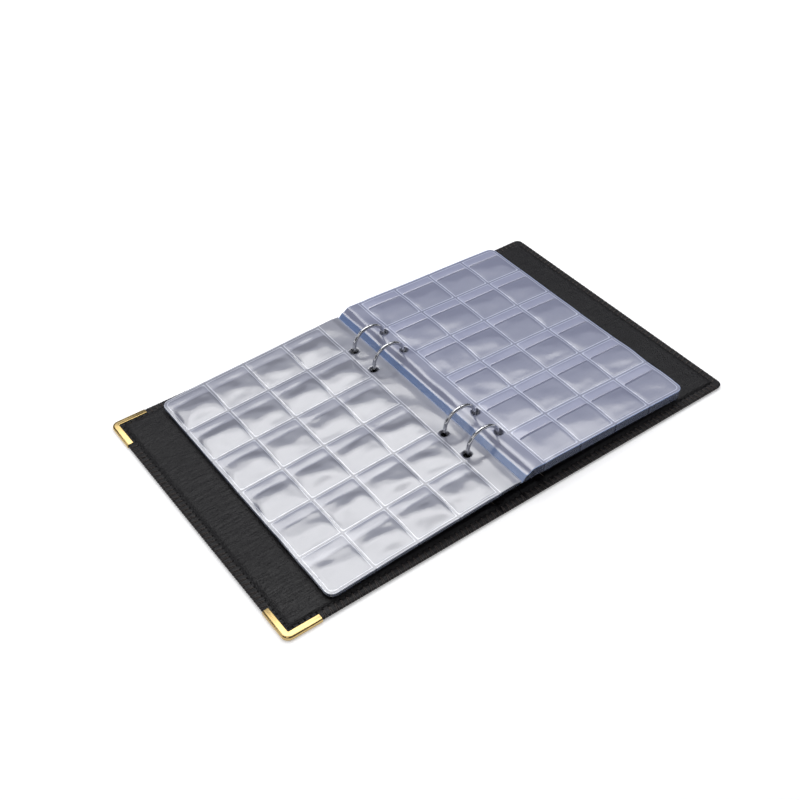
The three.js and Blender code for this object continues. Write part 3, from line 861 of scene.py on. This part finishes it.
def pocketFullness(u, v, belowMouth, pockets, seed):
    # below the mouth the film rises to a crest and falls to the next weld; above it, it hardly lifts
    if u < columnLines[-1]:
        return 0.0
    b = belly
    column, row, across, below = pocketPlace(u, v)
    size, lean, crest = pockets[(column, row)]
    span = max(0.0, 1 - across ** 2) ** b["blunt"]
    leaning = 1 + b["lean"] * lean * across
    crumple = b["crumple"] * noiseAt(u, v, b["crumpleSize"], seed)
    crumple *= smoothStep(*b["crumpleFrom"], weldDistance(u, v))
    if belowMouth:
        t = min(max((below - leaf["mouthDrop"]) / (rowPitch - leaf["mouthDrop"]), 0.0), 1.0)
        crestHere = crest * leaning
        rise = mix(b["atMouth"], 1.0, smoothStep(0, crestHere, t))
        fall = 1 - smoothStep(crestHere, 1.0, t) ** b["fall"]
        return max(0.0, size * span * rise * fall * leaning + crumple)
    t = min(max(below / leaf["mouthDrop"], 0.0), 1.0)
    lift = math.sin(math.pi * min(t * b["flapSpan"], 1.0))
    return max(0.0, b["flapFull"] * size * span * lift + b["flapCrumple"] * crumple)


topLeaves = {3: "front_top_leaf", 4: "back_top_leaf"}


def onMouth(y):
    return any(abs(y - line) < 1e-5 for line in mouthLines)


def leafGrid(punchX, step):
    # a flat grid with lines along the welds, the mouths, the rim and round the punch holes
    w = leaf["weldHalf"]
    q = leaf["punchCell"]
    half = leaf["half"]
    rim = leaf["rim"]
    marksX = [leaf["inner"], leaf["inner"] + 1.1, leaf["outer"] - leaf["corner"], leaf["outer"] - rim]
    marksX += [leaf["outer"], punchX - q, punchX + q, columnLines[0] - w, columnLines[0]]
    marksX += [line + d for line in columnLines[1:] for d in (-w, 0, w)]
    marksY = [-half, rim - half, leaf["corner"] - half, half - leaf["corner"], half - rim, half] + mouthLines
    marksY += [line + d for line in rowLines[1:-1] for d in (-w, 0, w)]
    marksY += [rowLines[0] - w, rowLines[0], rowLines[-1], rowLines[-1] + w]
    marksY += [y + d for y in rings["places"] for d in (-q, q)]
    return gridShape(gridLines(marksX, step), gridLines(marksY, step))


def punchHoles(shape, punchX):
    # takes a square of faces out at each ring and pulls the grid round it into a circle
    q = leaf["punchCell"]
    reach = leaf["punchReach"] * q
    punched = [f for f in shape.faces if abs(f.calc_center_median().x - punchX) < q and any(
        abs(f.calc_center_median().y - y) < q for y in rings["places"])]
    bmesh.ops.delete(shape, geom=punched, context="FACES")
    for vert in shape.verts:
        for y in rings["places"]:
            du = vert.co.x - punchX
            dv = vert.co.y - y
            far = max(abs(du), abs(dv))
            if 1e-6 < far < reach:
                shrink = far / math.hypot(du, dv) * leaf["punch"] / q
                share = min(max((far - q) / (reach - q), 0.0), 1.0)
                vert.co.x = punchX + du * mix(shrink, 1.0, share)
                vert.co.y = y + dv * mix(shrink, 1.0, share)


def splitMouths(shape):
    clear = leaf["weldHalf"] + 0.1
    slits = []
    for edge in shape.edges:
        a, b = edge.verts[0].co, edge.verts[1].co
        middle = (a.x + b.x) / 2
        if abs(a.y - b.y) < 1e-6 and onMouth(a.y) and middle > columnLines[-1]:
            if all(abs(middle - line) > clear for line in columnLines):
                slits.append(edge)
    bmesh.ops.split_edges(shape, edges=slits)


def pocketChoices(number):
    # each pocket's fullness, lean and crest place
    dice = random.Random(100 + number)
    return {
        (c, r): (dice.uniform(0.7, 1.3), dice.uniform(-0.8, 0.8), dice.uniform(0.32, 0.5))
        for c in range(leaf["columns"]) for r in range(leaf["rows"])
    }


def drapeFilm(shape, number, side, upper, offset, amount):
    # marks welds, edges, flaps and the rims that get painted shade for the vinyl, and lifts the flat grid
    # into its waves and pockets
    w = leaf["weldHalf"]
    layers = shape.verts.layers.float
    weldLayer = layers.new("weld")
    edgeLayer = layers.new("edge")
    flapLayer = layers.new("flap")
    rimShadeLayer = layers.new("under")
    pockets = pocketChoices(number)
    onTop = number in topLeaves
    face = 1 if upper else -1
    share = 1 if upper else leaf["lowerFull"]
    stack = stacks[side]
    upStack = abs(number - stack["lowest"]) / stack["steps"]
    sink = mix(*stack["sink"], upStack)
    shift = mix(*stack["shift"], upStack)
    places = {}
    for vert in shape.verts:
        u, v = vert.co.x, vert.co.y
        below = rowLines[0] - v if v > rowLines[0] else (rowLines[0] - v) % rowPitch
        under = below > leaf["mouthDrop"]
        if onMouth(v):
            under = all(f.calc_center_median().y < v for f in vert.link_faces)
        innerEdge = u < leaf["inner"] + 0.1
        rimmed = innerEdge or u > leaf["outer"] - 0.1 or abs(v) > leaf["half"] - 0.1
        near = weldDistance(u, v)
        vert[weldLayer] = min(near, leaf["weldReach"])
        vert[edgeLayer] = 1.0 if innerEdge else stack["rim"] if rimmed and onTop else 0.0
        # painted shade on the outer rims of the leaves under the top one
        vert[rimShadeLayer] = 1.0 if rimmed and not innerEdge and not onTop else 0.0
        vert[flapLayer] = 1.0 if u > columnLines[-1] and not under and near > w - 0.01 else 0.0
        inMargin = 1 - smoothStep(leaf["margin"], leaf["margin"] + leaf["marginRise"], u)
        pressed = max(1 - smoothStep(w * 0.9, w * 2, near), inMargin)
        gap = mix(leaf["spread"] + leaf["film"] / 2, leaf["pressed"], pressed)
        full = pocketFullness(u, v, under, pockets, number * 1.3) * amount
        bent = 1 - smoothStep(leaf["inner"], stack["bendEnd"], u)
        uneven = 1 + leaf["uneven"] * noise.noise(Vector((v / leaf["unevenLength"], 0, 4.4)))
        lift = offset + face * gap + pageWave(u, v) + full * share - sink * bent * uneven
        places[vert] = (u + shift * bent, v, lift)
    for vert, place in places.items():
        vert.co = place


def leafFilm(number, role, step, amount):
    side = -1 if number <= 3 else 1
    offset = -side * (number - leaf["level"]) * leaf["pitch"]
    punchX = math.sqrt(rings["radius"] ** 2 - offset ** 2) + leaf["punchOffset"]
    shape = leafGrid(punchX, step)
    punchHoles(shape, punchX)
    if role == "pocket":
        splitMouths(shape)
    upper = (role == "pocket") == (side > 0)
    drapeFilm(shape, number, side, upper, offset, amount)
    for end in (-1, 1):
        centre = (leaf["outer"] - leaf["corner"], end * (leaf["half"] - leaf["corner"]))
        roundCorner(shape, centre, (1, end), leaf["corner"])
    for vert in shape.verts:
        u, v, lift = vert.co
        x = side * (u * math.cos(leaf["droop"]) + lift * math.sin(leaf["droop"]))
        z = rings["centreZ"] - u * math.sin(leaf["droop"]) + lift * math.cos(leaf["droop"])
        vert.co = Vector((x, v, z)) * mm
    if side < 0:
        bmesh.ops.reverse_faces(shape, faces=shape.faces)
    tag = f"{number:02d}"
    film = frontVinyl if side < 0 else backVinyl
    body = topLeaves.get(number, "front_packet" if side < 0 else "back_packet")
    made = finishPiece(f"leaf_{tag}_{role}_sheet", shape, film, body,
                       [f"leaf_{tag}_{role}_film"])
    return thicken(made, leaf["film"] * mm, 0.0)


# the two open pages have the finest grids and the fullest pockets; the leaves under them lie flatter
fullnessOf = {3: 1.2, 4: 0.45}
for number in range(1, leaf["count"] + 1):
    for role in ("pocket", "back"):
        leafFilm(number, role, 1.25 if number in topLeaves else 2.2, fullnessOf.get(number, 0.12))
print("leaves ready")
